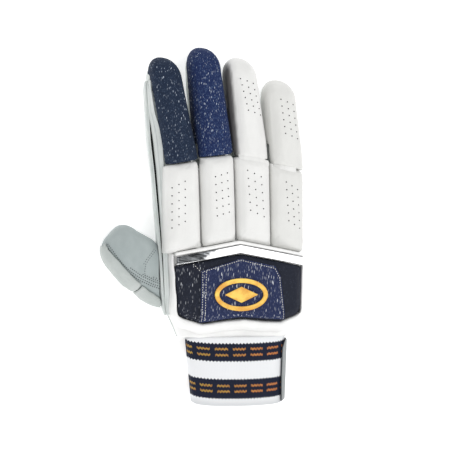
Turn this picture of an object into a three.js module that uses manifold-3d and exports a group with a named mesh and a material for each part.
// Right-hand cricket batting glove, lying on its palm.
// Millimetres. +Z stands out of the back of the hand, +Y points to the fingertips and +X to the little
// finger.
// The origin is on the palm's flat underside.
import * as THREE from "three";
import { mergeVertices } from "three/addons/utils/BufferGeometryUtils.js";
import Module from "manifold-3d";

const wasm = await Module();
wasm.setup();

// Hand
const WRIST_Y = -36.5;
const HAND_LENGTH = 132.5;
const HAND_WIDTH = 118;
const HAND_DEPTH = 28;
const WIDEST_LEVEL = 10;
const LEATHER = 1.8;
const GAP = 0.3;
const SOFT_GAP = 0.5;

// Padding on the back
const PADDED_HEIGHT = 40;
const SIDE_DROP = 8;
const PAD_GAP = 0.8;

// Fingers
const FINGER_REACH = 96.4;
const ROLL_THICK = 13;
const ROLL_TIP = 15;
const ROLL_TIP_THICK = 9.5;
const TIP_DEPTH = 0.88;
const SLACK_END = 0.35;
const ROLL_SHELL = 3.2;
const STALL_INSET = 2.2;
const ROLL_RIM = 1.65;
const ROLL_END_DROP = 0.93;
const ROLL_END_TURN = 80;
const STALL_END_TURN = 78;
const STALL_LEVEL = 0.42;
const STALL_ROUNDNESS = 2.7;
const STALL_SIDES = 16;
const FINGER_OVERLAP = 5;

// Shallow V above the back panel
const V_PEAK_X = 2.8;
const V_PEAK_Y = 38.4;
const V_SLOPE = 0.187;
const PIPING = 3;
const PIPING_PROUD = 1.6;
const MIRROR_WIDTH = 6.6;
const MIRROR_SINK = 2.2;

// Back panel, its patch and its border
const PANEL_LEFT = 47.2;
const PANEL_RIGHT = 56.4;
const PANEL_TAPER = 2.6;
const PANEL_BASE_Y = -22;
const PANEL_RIM = 3;
const PANEL_SIDE_DROP = 8.5;
const PANEL_FACET = 0.18;
const PANEL_COLUMNS = [0, 0.05, PANEL_FACET, 0.35, 0.515, 0.67, 0.81, 0.95, 1];
const PANEL_ROWS = [0, 0.05, 0.13, 0.5, 0.9, 0.97, 1];
const PANEL_EDGE_SHARE = 0.03;
const STRIP_EDGE_SHARE = 0.04;
const PATCH_THICK = 1;
const PATCH_INSET = 3.9;
const PATCH_SHOULDER = 8;
const BORDER_SIDE = 2.6;
const BORDER_BASE = 9;
const BORDER_SIDE_ROWS = 3;
const BORDER_WIDENING = 0.2;

// Plain raised ornament on the patch
const EMBLEM_Y = -2.4;
const EMBLEM_LENGTH = 43;
const EMBLEM_HEIGHT = 25.6;
const EMBLEM_BAND = 3.6;
const EMBLEM_THICK = 1.6;
const LOZENGE_INSET_ALONG = 2.2;
const LOZENGE_INSET_UP = 1.8;

// Thumb
const THUMB_ROOT_X = -45.4;
const THUMB_ROOT_Y = -5.8;
const THUMB_ANGLE = 138.2;
const THUMB_LENGTH = 71.5;
const THUMB_WIDTH = 35;
const THUMB_DEPTH = 23;
const THUMB_PAD = 5;
const THUMB_TIP = 15;
const THUMB_SEAM = 0.46;
const THUMB_START = -4;
const THUMB_STRAIGHT = THUMB_LENGTH - THUMB_TIP;
const THUMB_LEVEL = 0.45;
const THUMB_FOOT = 0.6;
const THUMB_ROUNDNESS = 2.5;
const THUMB_BLUNTNESS = 0.55;
const THUMB_SIDES = 20;
const THUMB_END_TURN = 78;
const THUMB_PAD_END_TURN = 62;
const THUMB_PAD_END_DROP = 0.7;
const THUMB_PAD_FADE = 0.1;

// Wrist
const CUFF_LENGTH = 50.5;
const CUFF_WIDTH = 80.5;
const CUFF_HEM_WIDTH = 73.5;
const CUFF_X = 5.1;
const CUFF_HEM_X = 6.6;
const CUFF_TOP = 30.5;
const CUFF_WALL = 2.4;
const CUFF_BOW = 2.4;
const STRAP_THICK = 1.8;
const STRAP_EDGE = 2.2;
const STRAP_END = -128;
const STRAP_LEVEL = STRAP_THICK + 2 * GAP;
const CUFF_SIDES = 28;
const CUFF_ROUNDNESS = 2.25;
const CUFF_CREASE = 0.48;
const CUFF_OVERRUN = 0.1;

// Index side
const WELT_THICK = 1.7;
const WELT_STANDOFF = 1.1;
const WELT_LOW = 8.5;
const WELT_HIGH = 21;
const WELT_START_Y = 20;
const WELT_SHORT_OF_TIP = 4;
const WELT_START_FADE = 10;
const WELT_END_FADE = 14;
const WELT_END_SHARE = 0.35;
const WELT_RIM = 0.6;

// How far a shape that only cuts runs past what it cuts.
const OVERRUN = 20;

const KNUCKLE_Y = WRIST_Y + HAND_LENGTH;
const HALF_WIDTH = HAND_WIDTH / 2;
const BACK_ROUNDNESS = 3;
const PALM_ROUNDNESS = 4;
const PALM_FLATTENING = 1.6;
const THUMB_WAY_IN = -14;

// Outline of the hand: along is a share of the hand's length from the wrist, index and little are shares
// of half its width, and depth is a share of the hand's depth.
const HAND_SECTIONS = [
  { along: 0, index: 0.7, little: 0.8, depth: 1 },
  { along: 0.06, index: 0.755, little: 0.92, depth: 1 },
  { along: 0.165, index: 0.861, little: 1.035, depth: 1 },
  { along: 0.27, index: 0.895, little: 1.055, depth: 1 },
  { along: 0.45, index: 0.915, little: 1.01, depth: 1 },
  { along: 0.6, index: 0.927, little: 0.995, depth: 1 },
  { along: 0.79, index: 0.952, little: 0.99, depth: 0.99 },
  { along: 1, index: 1.005, little: 0.99, depth: 0.96 },
];

// Crown of a pad or a roll, from the index side to the little finger's side. The first facet is the steep
// one that faces the thumb.
const CROWN = [
  { across: 0, up: 0.4 },
  { across: 0.03, up: 0.68 },
  { across: 0.09, up: 0.85 },
  { across: 0.25, up: 1 },
  { across: 0.5, up: 1.01 },
  { across: 0.8, up: 0.99 },
  { across: 0.93, up: 0.9 },
  { across: 0.98, up: 0.7 },
  { across: 1, up: 0.4 },
];

// Rise of a knuckle pad from its wrist end to its finger end.
const PAD_ENDS = [
  { along: 0, up: 0.62 },
  { along: 0.04, up: 0.86 },
  { along: 0.12, up: 0.98 },
  { along: 0.5, up: 1 },
  { along: 0.88, up: 0.97 },
  { along: 0.97, up: 0.86 },
  { along: 1, up: 0.66 },
];

// Lines between the knuckle pads, at the knuckles and at the V, as shares of half the hand's width.
const PAD_LINES = [
  { knuckle: -0.954, vee: -0.941 },
  { knuckle: -0.483, vee: -0.449 },
  { knuckle: -0.012, vee: 0.019 },
  { knuckle: 0.481, vee: 0.5 },
  { knuckle: 0.981, vee: 0.981 },
];

// root, lean, width and loose are shares of the hand's width, and loose is how much wider the leather is on
// the index side. start and reach are shares of the finger reach from the knuckle line, seam is the slope
// of the seam at the root, taper is the tip's share of the width, and depth is a share of the hand's depth.
const FINGERS = [
  {
    name: "index",
    root: -0.345, lean: -0.128, width: 0.215, loose: 0.0375,
    start: 0.05, reach: 0.914, seam: 0.17, taper: 0.925, depth: 0.84,
  },
  {
    name: "middle",
    root: -0.121, lean: -0.081, width: 0.24, loose: 0.016,
    start: 0.104, reach: 1, seam: 0.11, taper: 0.83, depth: 0.9,
  },
  {
    name: "ring",
    root: 0.119, lean: -0.07, width: 0.24, loose: 0,
    start: 0.089, reach: 0.924, seam: -0.13, taper: 0.84, depth: 0.9,
  },
  {
    name: "little",
    root: 0.372, lean: -0.045, width: 0.242, loose: 0,
    start: 0.016, reach: 0.748, seam: -0.2, taper: 0.86, depth: 0.8,
  },
];

// Sections of the thumb: along is a share of its straight length, web and back are its two sides as
// shares of its width from its centre line, and depth is a share of its depth.
const THUMB_SECTIONS = [
  { along: 0, web: 0.5, back: 0.2, depth: 0.68 },
  { along: 0.2, web: 0.6, back: 0.31, depth: 0.7 },
  { along: 0.4, web: 0.67, back: 0.375, depth: 0.78 },
  { along: 0.7, web: 0.71, back: 0.385, depth: 0.92 },
  { along: 1, web: 0.6, back: 0.31, depth: 1 },
];

// Foot of the panel and outline of its patch. x is a share of the panel's reach on that side of the V's
// peak, rise is in shares of its side drop from the foot's level, and the patch's rows say which edge of
// the panel they keep their inset from.
const PANEL_FOOT = [
  { x: -1, rise: 0.53 },
  { x: -0.94, rise: 0.32 },
  { x: -0.66, rise: -0.42 },
  { x: 0, rise: 0.12 },
  { x: 0.59, rise: -0.3 },
  { x: 0.94, rise: 0.36 },
  { x: 1, rise: 0.65 },
];
const PATCH_OUTLINE = [
  { x: -0.645, edge: "foot" },
  { x: 0, edge: "foot" },
  { x: 0.68, edge: "foot" },
  { x: 0.6, edge: "shoulder" },
  { x: 0.52, edge: "top" },
  { x: 0, edge: "top" },
  { x: -0.635, edge: "top" },
];

// How far the panel's skin sinks towards its foot and its top edge, in millimetres.
const PANEL_ENDS = [
  { along: 0, sink: 5 },
  { along: 0.05, sink: 1.6 },
  { along: 0.13, sink: 0 },
  { along: 0.9, sink: 0 },
  { along: 0.97, sink: 0.8 },
  { along: 1, sink: 2.4 },
];

// Across the border, from the panel outwards.
const BORDER_PROFILE = [
  { across: 0, up: 0.93 },
  { across: 0.12, up: 1 },
  { across: 0.45, up: 0.92 },
  { across: 0.8, up: 0.6 },
  { across: 1, up: 0.2 },
];

// Crown of the thumb's padding round the thumb, in degrees from its web side over the back.
const THUMB_PAD_CROWN = [
  { turn: 133, rise: 0.28 },
  { turn: 138, rise: 0.72 },
  { turn: 150, rise: 0.95 },
  { turn: 168, rise: 1 },
  { turn: 188, rise: 0.92 },
  { turn: 203, rise: 0.66 },
  { turn: 211, rise: 0.3 },
];

// Where the strap's upper edge lies round the wrist, in degrees, from the hand to the hem.
const STRAP_LINE = [
  { along: 0.02, turn: 14 },
  { along: 0.08, turn: 22 },
  { along: 0.17, turn: 28 },
  { along: 0.6, turn: 29 },
  { along: 0.98, turn: 27 },
];

const radians = (degrees) => (degrees * Math.PI) / 180;
const mix = (from, to, share) => from + (to - from) * share;

// Straight-line reading of one column of a table, at a place between its rows.
function read(table, key, place, column) {
  let i = 0;
  while (i < table.length - 2 && place > table[i + 1][key]) i++;
  const share = (place - table[i][key]) / (table[i + 1][key] - table[i][key]);
  return mix(table[i][column], table[i + 1][column], Math.min(1, Math.max(0, share)));
}

function spread(from, to, steps) {
  return Array.from({ length: steps + 1 }, (_, i) => mix(from, to, i / steps));
}

// A closed body from points and triangles, turned so that its faces point out.
function bodyOf(points, triangles) {
  let volume = 0;
  for (const [a, b, c] of triangles) {
    const [p, q, r] = [points[a], points[b], points[c]];
    volume += p[0] * (q[1] * r[2] - q[2] * r[1]);
    volume += p[1] * (q[2] * r[0] - q[0] * r[2]);
    volume += p[2] * (q[0] * r[1] - q[1] * r[0]);
  }
  const facing = volume < 0 ? triangles.map(([a, b, c]) => [a, c, b]) : triangles;
  const mesh = new wasm.Mesh({
    numProp: 3,
    vertProperties: new Float32Array(points.flat()),
    triVerts: new Uint32Array(facing.flat()),
  });
  return new wasm.Manifold(mesh);
}

// A sheet with thickness: two skins over the same rows and columns, joined round their edges.
function sheet(rows, columns, outer, inner) {
  const points = [];
  for (const skin of [outer, inner]) {
    for (const row of rows) for (const column of columns) points.push(skin(row, column));
  }
  const wide = columns.length;
  const layer = rows.length * wide;
  const triangles = [];
  const quad = (a, b, c, d) => triangles.push([a, b, c], [a, c, d]);
  for (let r = 0; r < rows.length - 1; r++) {
    for (let c = 0; c < wide - 1; c++) {
      const at = r * wide + c;
      quad(at, at + 1, at + wide + 1, at + wide);
      quad(layer + at + wide, layer + at + wide + 1, layer + at + 1, layer + at);
    }
    const left = r * wide;
    const right = left + wide - 1;
    quad(left, left + wide, layer + left + wide, layer + left);
    quad(right + wide, right, layer + right, layer + right + wide);
  }
  const last = (rows.length - 1) * wide;
  for (let c = 0; c < wide - 1; c++) {
    quad(c + 1, c, layer + c, layer + c + 1);
    quad(last + c, last + c + 1, layer + last + c + 1, layer + last + c);
  }
  return bodyOf(points, triangles);
}

// A closed body through rings with the same number of points, with a flat fan over each end.
function loft(rings) {
  const points = rings.flat();
  const count = rings[0].length;
  const triangles = [];
  for (let r = 0; r < rings.length - 1; r++) {
    for (let i = 0; i < count; i++) {
      const a = r * count + i;
      const b = r * count + ((i + 1) % count);
      triangles.push([a, b, b + count], [a, b + count, a + count]);
    }
  }
  for (const [ring, turned] of [[0, true], [rings.length - 1, false]]) {
    const middle = [0, 1, 2].map((k) => rings[ring].reduce((sum, p) => sum + p[k], 0) / count);
    points.push(middle);
    for (let i = 0; i < count; i++) {
      const a = ring * count + i;
      const b = ring * count + ((i + 1) % count);
      triangles.push(turned ? [b, a, points.length - 1] : [a, b, points.length - 1]);
    }
  }
  return bodyOf(points, triangles);
}

// A straight-sided body over a plan outline.
function prism(outline, low, high) {
  return loft([low, high].map((z) => outline.map(([x, y]) => [x, y, z])));
}

// A point of a rounded ring: sides at +-half, crest at top, and a foot that is flat where it lies.
function ringPoint(angle, half, level, top, foot, roundness) {
  const cos = Math.cos(angle);
  const sin = Math.sin(angle);
  if (sin >= 0) {
    const across = Math.sign(cos) * half * Math.abs(cos) ** (2 / roundness);
    return [across, level + (top - level) * sin ** (2 / roundness)];
  }
  const across = Math.sign(cos) * half * Math.abs(cos) ** (2 / PALM_ROUNDNESS);
  const down = (level - foot + PALM_FLATTENING) * Math.abs(sin) ** (2 / PALM_ROUNDNESS);
  return [across, level - Math.min(level - foot, down)];
}

// Hand skin
function handAt(y) {
  const along = (y - WRIST_Y) / HAND_LENGTH;
  const index = -HALF_WIDTH * read(HAND_SECTIONS, "along", along, "index");
  const little = HALF_WIDTH * read(HAND_SECTIONS, "along", along, "little");
  return {
    index,
    little,
    centre: (index + little) / 2,
    half: (little - index) / 2,
    depth: HAND_DEPTH * read(HAND_SECTIONS, "along", along, "depth"),
  };
}

function handPoint(y, angle, inset) {
  const hand = handAt(y);
  const top = hand.depth - inset;
  const [x, z] = ringPoint(angle, hand.half - inset, WIDEST_LEVEL, top, inset, BACK_ROUNDNESS);
  return [hand.centre + x, y, z];
}

function backHeight(x, y) {
  const hand = handAt(y);
  const share = Math.min(0.97, Math.abs(x - hand.centre) / hand.half);
  const rise = (1 - share ** BACK_ROUNDNESS) ** (1 / BACK_ROUNDNESS);
  return WIDEST_LEVEL + (hand.depth - WIDEST_LEVEL) * rise;
}

const handRows = HAND_SECTIONS.map((row) => WRIST_Y + HAND_LENGTH * row.along);
const backAngles = spread(0, Math.PI, 18);
const palmAngles = spread(Math.PI, 2 * Math.PI, 13);

function handEnvelope(extra, firstY, lastY) {
  const rows = [firstY, ...handRows, lastY];
  const angles = [...backAngles.slice(0, -1), ...palmAngles.slice(0, -1)];
  return loft(rows.map((y) => angles.map((angle) => handPoint(y, angle, -extra))));
}

const spaceOverHand = handEnvelope(SOFT_GAP, WRIST_Y - OVERRUN, KNUCKLE_Y + OVERRUN);

// Fingers
function fingerAt(finger, y, inset) {
  const start = KNUCKLE_Y + FINGER_REACH * finger.start;
  const tip = KNUCKLE_Y + FINGER_REACH * finger.reach;
  const share = (y - start) / (tip - start);
  const width = HAND_WIDTH * finger.width * mix(1, finger.taper, Math.max(0, share));
  return {
    centre: HAND_WIDTH * (finger.root + finger.lean * share),
    half: width / 2 - inset,
    top: HAND_DEPTH * finger.depth * mix(1, TIP_DEPTH, Math.max(0, share)),
    thick: mix(ROLL_THICK, ROLL_TIP_THICK, Math.max(0, share)),
    slack: Math.min(1, Math.max(0, 1 - share) / SLACK_END),
    start,
    tip,
  };
}

// Rows of a finger: straight ones, then turned ones over the tip. Each holds its y and how far it shrinks.
function fingerRows(finger, firstY, tipY, tipLength, lastAngle) {
  const straight = spread(firstY, tipY - tipLength, 4).map((y) => ({ y, shrink: 1 }));
  const turned = spread(0, lastAngle, 5).slice(1);
  const over = turned.map((angle) => ({
    y: tipY - tipLength * (1 - Math.sin(radians(angle))),
    shrink: Math.cos(radians(angle)),
  }));
  return [...straight, ...over];
}

function stallRing(finger, row, inset) {
  const at = fingerAt(finger, row.y, STALL_INSET + inset);
  const loose = HAND_WIDTH * finger.loose * at.slack * row.shrink;
  const level = at.top * STALL_LEVEL;
  return spread(0, 2 * Math.PI, STALL_SIDES).slice(0, -1).map((angle) => {
    const half = at.half + loose / 2;
    const [x, z] = ringPoint(angle, half, level, at.top - inset, inset, STALL_ROUNDNESS);
    return [at.centre - loose / 2 + x * row.shrink, row.y, level + (z - level) * row.shrink];
  });
}

function stallRings(finger, inset, firstY) {
  const tipY = fingerAt(finger, 0, 0).tip - ROLL_SHELL - inset;
  const rows = fingerRows(finger, firstY, tipY, ROLL_TIP - ROLL_SHELL, STALL_END_TURN);
  return rows.map((row) => stallRing(finger, row, inset));
}

function stall(finger) {
  const outside = loft(stallRings(finger, 0, KNUCKLE_Y + GAP));
  const inside = loft(stallRings(finger, LEATHER, KNUCKLE_Y - 1));
  return outside.subtract(inside);
}

function crestHeight(x) {
  return PADDED_HEIGHT - SIDE_DROP * (x / HALF_WIDTH) ** 2;
}

function roll(finger) {
  const at = fingerAt(finger, 0, 0);
  const rows = fingerRows(finger, at.start + PAD_GAP / 2, at.tip, ROLL_TIP, ROLL_END_TURN);
  const firstY = rows[0].y;
  const point = (row, across, raised) => {
    const here = fingerAt(finger, row.y, 0);
    const level = here.top * STALL_LEVEL;
    const offset = (2 * across - 1) * here.half;
    const seamShift = finger.seam * offset * Math.max(0, 1 - (row.y - firstY) / ROLL_TIP);
    const crest = Math.min(crestHeight(here.centre), here.top + here.thick);
    const low = level * ROLL_RIM;
    const rim = row.y === firstY ? ROLL_END_DROP : 1;
    const up = read(CROWN, "across", across, "up") * rim;
    const high = raised ? mix(low, crest, up) : low - ROLL_SHELL;
    return [
      here.centre + offset * row.shrink,
      row.y + seamShift,
      level + (high - level) * row.shrink ** 0.8,
    ];
  };
  const columns = CROWN.map((row) => row.across);
  const body = sheet(rows, columns, (r, c) => point(r, c, true), (r, c) => point(r, c, false));
  const spaceOverStall = loft(stallRings(finger, -SOFT_GAP, KNUCKLE_Y - FINGER_OVERLAP));
  return body.subtract(spaceOverStall).subtract(spaceOverHand);
}

// Knuckle pads
function veeY(x) {
  return V_PEAK_Y - V_SLOPE * Math.abs(x - V_PEAK_X);
}

function knucklePad(finger, place) {
  const at = fingerAt(finger, 0, 0);
  const edge = (line, along, inset) => HALF_WIDTH * mix(line.vee, line.knuckle, along) + inset;
  const point = (along, across, raised) => {
    const left = edge(PAD_LINES[place], along, PAD_GAP / 2);
    const right = edge(PAD_LINES[place + 1], along, -PAD_GAP / 2);
    const x = mix(left, right, across);
    const rootX = HAND_WIDTH * finger.root;
    const top = at.start + finger.seam * (x - rootX) - PAD_GAP / 2;
    const y = mix(veeY(x) + PIPING / 2 + GAP, top, along);
    const low = backHeight(x, y);
    const up = read(CROWN, "across", across, "up") * read(PAD_ENDS, "along", along, "up");
    return [x, y, raised ? mix(low, crestHeight(mix(left, right, 0.5)), up) : low - LEATHER];
  };
  const rows = PAD_ENDS.map((row) => row.along);
  const columns = CROWN.map((row) => row.across);
  const body = sheet(rows, columns, (r, c) => point(r, c, true), (r, c) => point(r, c, false));
  return body.subtract(spaceOverHand);
}

// Back panel
function panelShare(x) {
  return (x - V_PEAK_X) / (x < V_PEAK_X ? PANEL_LEFT + V_PEAK_X : PANEL_RIGHT - V_PEAK_X);
}

function panelX(share) {
  return V_PEAK_X + share * (share < 0 ? PANEL_LEFT + V_PEAK_X : PANEL_RIGHT - V_PEAK_X);
}

function panelBottom(x) {
  return PANEL_BASE_Y + PANEL_SIDE_DROP * read(PANEL_FOOT, "x", panelShare(x), "rise");
}

function panelTopY(x) {
  return veeY(x) - PIPING / 2 - MIRROR_WIDTH - 2 * GAP;
}

function panelPlan(along, across) {
  const lean = PANEL_TAPER * (1 - along);
  const x = mix(lean - PANEL_LEFT, PANEL_RIGHT - lean / 3, across);
  return [x, mix(panelBottom(x), panelTopY(x), along)];
}

function panelHeight(along, across) {
  const side = Math.max(0, PANEL_FACET - Math.min(across, 1 - across)) / PANEL_FACET;
  const rim = Math.min(across, 1 - across) === 0 ? PANEL_RIM : 0;
  const end = read(PANEL_ENDS, "along", along, "sink");
  return PADDED_HEIGHT - PANEL_SIDE_DROP * side - rim - end;
}

function backPad() {
  const top = (along, across) => [...panelPlan(along, across), panelHeight(along, across)];
  const foot = (along, across) => {
    const [x, y] = panelPlan(along, across);
    return [x, y, WIDEST_LEVEL];
  };
  return sheet(PANEL_ROWS, PANEL_COLUMNS, top, foot).subtract(spaceOverHand);
}

function backPatch(pad) {
  const outline = PATCH_OUTLINE.map((row) => {
    const x = panelX(row.x);
    const top = panelTopY(x) - PATCH_INSET;
    const y = { foot: panelBottom(x) + PATCH_INSET / 3, shoulder: top - PATCH_SHOULDER, top };
    return [x, y[row.edge]];
  });
  const layer = pad.translate([0, 0, GAP + PATCH_THICK]).subtract(pad.translate([0, 0, GAP]));
  return layer.intersect(prism(outline, PADDED_HEIGHT - OVERRUN, PADDED_HEIGHT + OVERRUN));
}

// A strip along the V, between two distances above it.
function veeStrip(low, high, profile) {
  const edge = V_PEAK_X;
  const columns = [
    ...spread(-PANEL_LEFT, edge, 5).slice(0, -1),
    ...spread(edge, PANEL_RIGHT, 5),
  ];
  const rows = profile.map((row) => row.along);
  const top = (along, x) => {
    const share = (x + PANEL_LEFT) / (PANEL_LEFT + PANEL_RIGHT);
    const inside = Math.min(1 - STRIP_EDGE_SHARE, Math.max(STRIP_EDGE_SHARE, share));
    const height = panelHeight(0.5, inside);
    return [x, veeY(x) + mix(low, high, along), height + read(profile, "along", along, "rise")];
  };
  const foot = (along, x) => [x, veeY(x) + mix(low, high, along), WIDEST_LEVEL];
  return sheet(rows, columns, top, foot).subtract(spaceOverHand);
}

function pipingProfile() {
  return spread(0, 180, 6).map((angle) => ({
    along: (1 - Math.cos(radians(angle))) / 2,
    rise: PIPING_PROUD * (Math.sin(radians(angle)) - 1),
  }));
}

function mirrorProfile() {
  return [
    { along: 0, rise: -MIRROR_SINK },
    { along: 0.12, rise: -MIRROR_SINK * 0.7 },
    { along: 0.5, rise: -MIRROR_SINK * 0.55 },
    { along: 0.88, rise: -MIRROR_SINK * 0.7 },
    { along: 1, rise: -MIRROR_SINK },
  ];
}

// White border: follows the panel down its index side, along its foot and up the other side.
function borderPath() {
  const foot = PANEL_COLUMNS.map((across) => panelPlan(0, across));
  const left = [-PANEL_LEFT, veeY(-PANEL_LEFT) + PIPING / 2];
  const right = [PANEL_RIGHT, veeY(PANEL_RIGHT) + PIPING / 2];
  const down = [1, 0.5].map((along) => panelPlan(along, 0));
  const up = [0.5, 1].map((along) => panelPlan(along, 1));
  return [left, ...down, ...foot, ...up, right];
}

function backBorder() {
  const path = borderPath();
  const last = path.length - 1;
  const away = path.map((here, i) => {
    const before = path[Math.max(0, i - 1)];
    const after = path[Math.min(last, i + 1)];
    const length = Math.hypot(after[0] - before[0], after[1] - before[1]);
    return [(after[1] - before[1]) / -length, (after[0] - before[0]) / length].map((v) => -v);
  });
  const base = path.map(([x]) => {
    const reach = x < V_PEAK_X ? -x / PANEL_LEFT : x / PANEL_RIGHT;
    return Math.min(1, Math.max(0, (1 - reach) / BORDER_WIDENING));
  });
  const rows = path.map((_, i) => i);
  const columns = BORDER_PROFILE.map((row) => row.across);
  const point = (i, across, raised) => {
    const isSide = i < BORDER_SIDE_ROWS || i > last - BORDER_SIDE_ROWS;
    const width = isSide ? BORDER_SIDE : mix(BORDER_SIDE, BORDER_BASE, base[i]);
    const out = GAP + width * across;
    const direction = isSide ? [i < BORDER_SIDE_ROWS ? -1 : 1, 0] : away[i];
    const x = path[i][0] + direction[0] * out;
    const y = i === 0 || i === last ? veeY(x) + PIPING / 2 : path[i][1] + direction[1] * out;
    const panelAcross = (path[i][0] + PANEL_LEFT) / (PANEL_LEFT + PANEL_RIGHT);
    const inside = Math.min(1 - PANEL_EDGE_SHARE, Math.max(PANEL_EDGE_SHARE, panelAcross));
    const high = panelHeight(PANEL_EDGE_SHARE, inside);
    const low = backHeight(x, y);
    const up = read(BORDER_PROFILE, "across", across, "up");
    return [x, y, raised ? mix(low, high, up) : WIDEST_LEVEL - 1];
  };
  const body = sheet(rows, columns, (r, c) => point(r, c, true), (r, c) => point(r, c, false));
  return body.subtract(spaceOverHand);
}

// Thumb
// A point of the thumb's skin, `out` millimetres outside it.
function thumbPoint(row, angle, out) {
  const turn = radians(THUMB_ANGLE);
  const [dirX, dirY] = [Math.cos(turn), Math.sin(turn)];
  const [sideX, sideY] = [Math.sin(turn), -Math.cos(turn)];
  const share = row.along / THUMB_STRAIGHT;
  const web = THUMB_WIDTH * read(THUMB_SECTIONS, "along", share, "web");
  const back = THUMB_WIDTH * read(THUMB_SECTIONS, "along", share, "back");
  const top = THUMB_DEPTH * read(THUMB_SECTIONS, "along", share, "depth");
  const level = top * THUMB_LEVEL;
  const foot = Math.max(THUMB_FOOT - out, THUMB_FOOT / 2);
  const [across, z] = ringPoint(angle, (web + back) / 2 + out, level, top + out, foot, THUMB_ROUNDNESS);
  const side = (web - back) / 2 + across * row.shrink;
  const along = row.along + (row.shrink < 1 ? out * Math.sqrt(1 - row.shrink ** 2) : 0);
  return [
    THUMB_ROOT_X + dirX * along + sideX * side,
    THUMB_ROOT_Y + dirY * along + sideY * side,
    level + (z - level) * row.shrink,
  ];
}

function thumbRows(from, to, lastAngle) {
  const straight = spread(from, to, 4).map((along) => ({ along, shrink: 1 }));
  const turned = spread(0, lastAngle, 5).slice(1).map((angle) => ({
    along: to + (THUMB_LENGTH - to) * Math.sin(radians(angle)),
    shrink: Math.cos(radians(angle)) ** THUMB_BLUNTNESS,
  }));
  return [...straight, ...turned];
}

function thumbLoft(out, from) {
  const angles = spread(0, 2 * Math.PI, THUMB_SIDES).slice(0, -1);
  const rows = thumbRows(from, THUMB_STRAIGHT, THUMB_END_TURN);
  return loft(rows.map((row) => angles.map((angle) => thumbPoint(row, angle, out))));
}

// Everything on the hand's side of the strip that runs down its index side.
function handSidePrism() {
  const out = WELT_STANDOFF + WELT_THICK + 2 * GAP;
  const besideBorder = -PANEL_LEFT - BORDER_SIDE - 3 * GAP;
  const edge = handRows.map((y) => {
    const side = handAt(y).index - out;
    return [y > PANEL_BASE_Y ? Math.min(side, besideBorder) : side, y];
  });
  const start = [HALF_WIDTH, WRIST_Y - OVERRUN];
  const first = [handAt(WRIST_Y).index - out, WRIST_Y - OVERRUN];
  const outline = [start, [HALF_WIDTH, KNUCKLE_Y], ...edge.reverse(), first];
  return prism(outline, -OVERRUN, PADDED_HEIGHT + OVERRUN);
}

function thumbStall() {
  const outside = thumbLoft(0, 0);
  const inside = thumbLoft(-LEATHER, THUMB_START);
  return outside.subtract(inside).subtract(handSidePrism());
}

function thumbPad(from, to, lastAngle) {
  const straight = spread(from, to, 3).map((along) => ({ along, shrink: 1 }));
  const turned = lastAngle ? spread(0, lastAngle, 4).slice(1).map((angle) => ({
    along: to + (THUMB_LENGTH - to) * Math.sin(radians(angle)),
    shrink: Math.cos(radians(angle)) ** THUMB_BLUNTNESS,
    fade: 1 - angle / lastAngle,
  })) : [];
  const rows = [...straight, ...turned];
  const turns = THUMB_PAD_CROWN.map((row) => row.turn);
  const outer = (row, turn) => {
    const isEnd = row === rows[0] || (!lastAngle && row === rows[rows.length - 1]);
    const end = isEnd ? THUMB_PAD_END_DROP : 1;
    const fade = row.fade === undefined ? 1 : mix(THUMB_PAD_FADE, 1, row.fade);
    const rise = read(THUMB_PAD_CROWN, "turn", turn, "rise") * end * fade;
    const [x, y, z] = thumbPoint(row, radians(turn), SOFT_GAP + THUMB_PAD * rise);
    return [x, y, Math.max(THUMB_FOOT / 2, z)];
  };
  const inner = (row, turn) => thumbPoint(row, radians(turn), -LEATHER);
  return sheet(rows, turns, outer, inner).subtract(thumbLoft(SOFT_GAP, THUMB_START)).subtract(handSidePrism());
}

// Wrist
function cuffPoint(along, angle, out) {
  const half = mix(CUFF_WIDTH, CUFF_HEM_WIDTH, along) / 2 + out;
  const level = mix(STRAP_LEVEL, CUFF_TOP, CUFF_CREASE);
  const [across, z] = ringPoint(angle, half, level, CUFF_TOP + out, STRAP_LEVEL - out, CUFF_ROUNDNESS);
  const bow = CUFF_BOW * Math.max(0, (z - level) / (CUFF_TOP - level));
  const seam = WRIST_Y - GAP - bow * along;
  return [mix(CUFF_X, CUFF_HEM_X, along) + across, seam - CUFF_LENGTH * along, z];
}

function cuffLoft(out, overrun) {
  const angles = spread(0, 2 * Math.PI, CUFF_SIDES).slice(0, -1);
  const rows = [-overrun, 0.25, 0.5, 0.75, 1 + overrun];
  return loft(rows.map((along) => angles.map((angle) => cuffPoint(along, angle, out))));
}

function cuff() {
  return cuffLoft(0, 0).subtract(cuffLoft(-CUFF_WALL, CUFF_OVERRUN));
}

function strap() {
  const rows = STRAP_LINE.map((row) => row.along);
  const columns = spread(0, 1, 12);
  const skin = (out) => (along, share) => {
    const turn = mix(read(STRAP_LINE, "along", along, "turn"), STRAP_END, share);
    return cuffPoint(along, radians(turn), out);
  };
  const body = sheet(rows, columns, skin(GAP + STRAP_THICK), skin(-CUFF_WALL / 2));
  return body.subtract(cuffLoft(GAP, CUFF_OVERRUN));
}

function strapEdge() {
  const rows = STRAP_LINE.map((row) => row.along);
  const width = (STRAP_EDGE / CUFF_WIDTH) * 2 * (180 / Math.PI);
  const clear = (GAP / CUFF_WIDTH) * 2 * (180 / Math.PI);
  const columns = [0, 0.3, 0.7, 1];
  const outer = (along, share) => {
    const turn = read(STRAP_LINE, "along", along, "turn") + clear + width * share;
    const rise = share === 0 || share === 1 ? 0.5 : 1;
    return cuffPoint(along, radians(turn), GAP + (STRAP_THICK + GAP) * rise);
  };
  const inner = (along, share) => {
    const turn = read(STRAP_LINE, "along", along, "turn") + clear + width * share;
    return cuffPoint(along, radians(turn), -CUFF_WALL / 2);
  };
  return sheet(rows, columns, outer, inner).subtract(cuffLoft(GAP, CUFF_OVERRUN));
}

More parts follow.
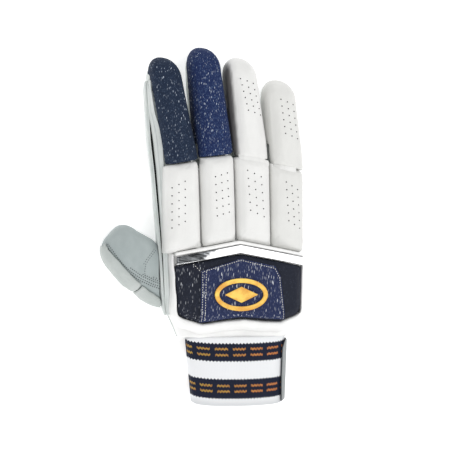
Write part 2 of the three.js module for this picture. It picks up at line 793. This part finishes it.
// Strip down the index side: it stands a little off the hand and the index finger, and leaves a slit.
function sideWelt() {
  const index = FINGERS[0];
  const end = fingerAt(index, 0, 0).tip - ROLL_TIP - WELT_SHORT_OF_TIP;
  const places = [...spread(WELT_START_Y, KNUCKLE_Y, 6), ...spread(KNUCKLE_Y, end, 6).slice(1)];
  const sideX = (y) => {
    const hand = handAt(Math.min(y, KNUCKLE_Y)).index;
    const finger = fingerAt(index, y, STALL_INSET);
    return Math.min(hand, finger.centre - finger.half - HAND_WIDTH * index.loose * finger.slack);
  };
  const levels = [0, 0.15, 0.5, 0.85, 1];
  const point = (y, share, out) => {
    const fadeIn = (y - WELT_START_Y) / WELT_START_FADE;
    const fade = Math.min(1, fadeIn, (end - y) / WELT_END_FADE + WELT_END_SHARE);
    const z = mix(mix(WELT_HIGH - 3, WELT_LOW, fade), WELT_HIGH, share);
    return [sideX(y) - out, y, z];
  };
  const bulge = (share) => (share === 0 || share === 1 ? WELT_RIM : 1);
  return sheet(
    places,
    levels,
    (y, share) => point(y, share, WELT_STANDOFF + WELT_THICK * bulge(share)),
    (y, share) => point(y, share, WELT_STANDOFF),
  );
}

// Plain ornament
function ellipse(length, height) {
  const shape = new THREE.Shape();
  shape.absellipse(0, 0, length / 2, height / 2, 0, Math.PI * 2, false, 0);
  return shape;
}

function raised(shape) {
  const geometry = new THREE.ExtrudeGeometry(shape, {
    depth: EMBLEM_THICK,
    bevelEnabled: false,
    curveSegments: 16,
  });
  geometry.deleteAttribute("normal");
  geometry.deleteAttribute("uv");
  const merged = mergeVertices(geometry);
  return new wasm.Manifold(new wasm.Mesh({
    numProp: 3,
    vertProperties: merged.attributes.position.array,
    triVerts: new Uint32Array(merged.index.array),
  }));
}

function seatEmblem(solid) {
  return solid.translate([V_PEAK_X, EMBLEM_Y, PADDED_HEIGHT + 2 * GAP + PATCH_THICK]);
}

function emblemRing() {
  const shape = ellipse(EMBLEM_LENGTH, EMBLEM_HEIGHT);
  shape.holes.push(ellipse(EMBLEM_LENGTH - 2 * EMBLEM_BAND, EMBLEM_HEIGHT - 2 * EMBLEM_BAND));
  return seatEmblem(raised(shape));
}

function emblemLozenge() {
  const half = EMBLEM_LENGTH / 2 - LOZENGE_INSET_ALONG * EMBLEM_BAND;
  const tall = EMBLEM_HEIGHT / 2 - LOZENGE_INSET_UP * EMBLEM_BAND;
  const shape = new THREE.Shape();
  shape.moveTo(half, 0);
  shape.lineTo(0, tall);
  shape.lineTo(-half, 0);
  shape.lineTo(0, -tall);
  shape.closePath();
  return seatEmblem(raised(shape));
}

// Leather tray and shell of the hand, with the way through to the thumb.
function handSkin(angles, lift) {
  const skin = (inset) => (y, angle) => {
    const [x, py, z] = handPoint(y, angle, inset);
    return [x, py, angle > Math.PI - 1e-9 && lift ? Math.min(z, WIDEST_LEVEL - lift) : z];
  };
  return sheet(handRows, angles, skin(0), skin(LEATHER)).subtract(thumbLoft(-LEATHER, THUMB_WAY_IN));
}

const finishes = {
  white: { color: 0xf2f2f0, roughness: 0.55, metalness: 0 },
  leather: { color: 0xe4e8e6, roughness: 0.6, metalness: 0 },
  grey: { color: 0xaab4b3, roughness: 0.6, metalness: 0 },
  navy: { color: 0x1d2748, roughness: 0.8, metalness: 0 },
  mirror: { color: 0xe8e9ea, roughness: 0.1, metalness: 1 },
  gilt: { color: 0xf0bd45, roughness: 0.4, metalness: 0 },
  elastic: { color: 0xf4f4f4, roughness: 0.8, metalness: 0 },
  dark: { color: 0x24262c, roughness: 0.6, metalness: 0 },
};

const glove = new THREE.Group();

function place(name, solid, finish) {
  const { numProp, vertProperties, triVerts } = solid.getMesh();
  const corners = vertProperties.length / numProp;
  const positions = new Float32Array(corners * 3);
  for (let i = 0; i < corners; i++) {
    positions.set(vertProperties.subarray(i * numProp, i * numProp + 3), i * 3);
  }
  const geometry = new THREE.BufferGeometry();
  geometry.setAttribute("position", new THREE.BufferAttribute(positions, 3));
  geometry.setIndex(new THREE.BufferAttribute(triVerts, 1));
  const mesh = new THREE.Mesh(geometry, new THREE.MeshStandardMaterial(finishes[finish]));
  mesh.name = name;
  glove.add(mesh);
}

place("palm", handSkin(palmAngles, GAP), "leather");
place("hand_back", handSkin(backAngles, 0), "white");
FINGERS.forEach((finger, i) => {
  const outside = finger.name === "index" || finger.name === "middle" ? "navy" : "white";
  place(`stall_${finger.name}`, stall(finger), "leather");
  place(`roll_${finger.name}`, roll(finger), outside);
  place(`pad_${finger.name}`, knucklePad(finger, i), "white");
});
const pad = backPad();
place("back_pad", pad, "navy");
place("back_patch", backPatch(pad), "navy");
place("back_border", backBorder(), "white");
place("v_piping", veeStrip(-PIPING / 2, PIPING / 2, pipingProfile()), "white");
const mirrorTop = -PIPING / 2 - GAP;
place("mirror_trim", veeStrip(mirrorTop - MIRROR_WIDTH, mirrorTop, mirrorProfile()), "mirror");
place("emblem_ring", emblemRing(), "gilt");
place("emblem_lozenge", emblemLozenge(), "gilt");
place("side_welt", sideWelt(), "leather");
place("stall_thumb", thumbStall(), "grey");
const thumbSeam = THUMB_STRAIGHT * THUMB_SEAM;
place("thumb_pad_tip", thumbPad(thumbSeam + GAP, THUMB_STRAIGHT, THUMB_PAD_END_TURN), "leather");
place("thumb_pad_base", thumbPad(0, thumbSeam - GAP, 0), "leather");
place("cuff", cuff(), "elastic");
place("strap", strap(), "grey");
place("strap_edge", strapEdge(), "dark");

export default glove;
